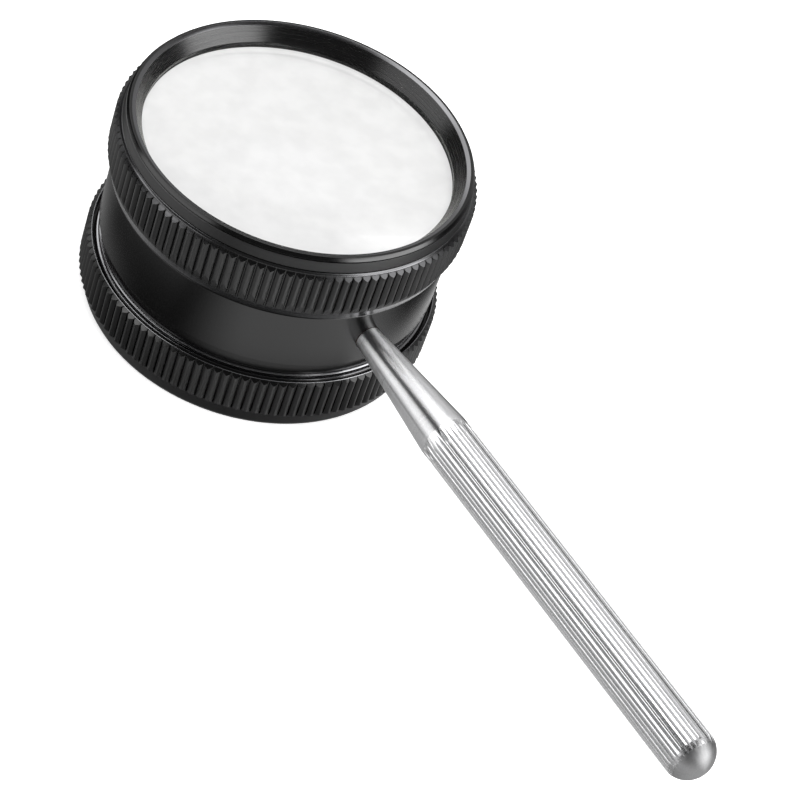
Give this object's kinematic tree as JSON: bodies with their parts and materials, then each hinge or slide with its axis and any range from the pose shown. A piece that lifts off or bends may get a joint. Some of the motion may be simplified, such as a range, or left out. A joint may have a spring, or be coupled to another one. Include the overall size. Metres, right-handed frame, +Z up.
{
  "type": "handheld magnifier",
  "caption": "Handheld magnifier: lenses held in a short waisted black barrel by knurled screw rings, with a slim ribbed metal handle that screws into its side.",
  "frame": {"origin": "centre of the footprint: the middle of the bounding box, on the plane of the lower rim", "axes": "+Z up along the optical axis towards the eye, +X along the handle away from the lens head"},
  "size_m": [0.141, 0.0564, 0.0354],
  "materials": {
    "black_anodised": "satin black anodised over fine turning lines",
    "lens_glass": "polished clear glass",
    "spacer_plastic": "matt white moulded plastic",
    "gasket_rubber": "matt black rubber",
    "handle_metal": "bright turned metal with polished ribs and a satin end",
    "stud_steel": "bright rolled thread",
    "washer_fibre": "dark vulcanised fibre"
  },
  "bodies": {
    "barrel": {"barrel": "black_anodised", "spacer_tube": "spacer_plastic", "upper_lens": "lens_glass", "lower_lens": "lens_glass"},
    "upper_gasket": {"upper_gasket": "gasket_rubber"},
    "upper_ring": {"upper_knurled_ring": "black_anodised"},
    "lower_gasket": {"lower_gasket": "gasket_rubber"},
    "lower_ring": {"lower_knurled_ring": "black_anodised"},
    "washer": {"handle_washer": "washer_fibre"},
    "handle": {"handle": "handle_metal", "handle_stud": "stud_steel"}
  },
  "joints": [
    {"name": "upper_ring_lift", "type": "slide", "parent": "barrel", "child": "upper_gasket", "axis": [0, 0, 1], "range_m": [0, 0.00451]},
    {"name": "upper_ring_turn", "type": "hinge", "parent": "upper_gasket", "child": "upper_ring", "pos_m": [-0.04225, 0, 0.0354], "axis": [0, 0, 1], "range_deg": [0, 2160]},
    {"name": "lower_ring_drop", "type": "slide", "parent": "barrel", "child": "lower_gasket", "axis": [0, 0, -1], "range_m": [0, 0.00451]},
    {"name": "lower_ring_turn", "type": "hinge", "parent": "lower_gasket", "child": "lower_ring", "pos_m": [-0.04225, 0, 0], "axis": [0, 0, -1], "range_deg": [0, 2160]},
    {"name": "handle_withdraw", "type": "slide", "parent": "barrel", "child": "washer", "axis": [1, 0, 0], "range_m": [0, 0.00225]},
    {"name": "handle_turn", "type": "hinge", "parent": "washer", "child": "handle", "pos_m": [-0.01555, 0, 0.0178], "axis": [1, 0, 0], "range_deg": [0, 1800]}
  ],
  "couplings": [
    {"joint": "upper_ring_lift", "follows": "upper_ring_turn", "m_per_rad": 0.00011937},
    {"joint": "lower_ring_drop", "follows": "lower_ring_turn", "m_per_rad": 0.00011937},
    {"joint": "handle_turn", "follows": "handle_withdraw", "rad_per_m": 13963}
  ]
}
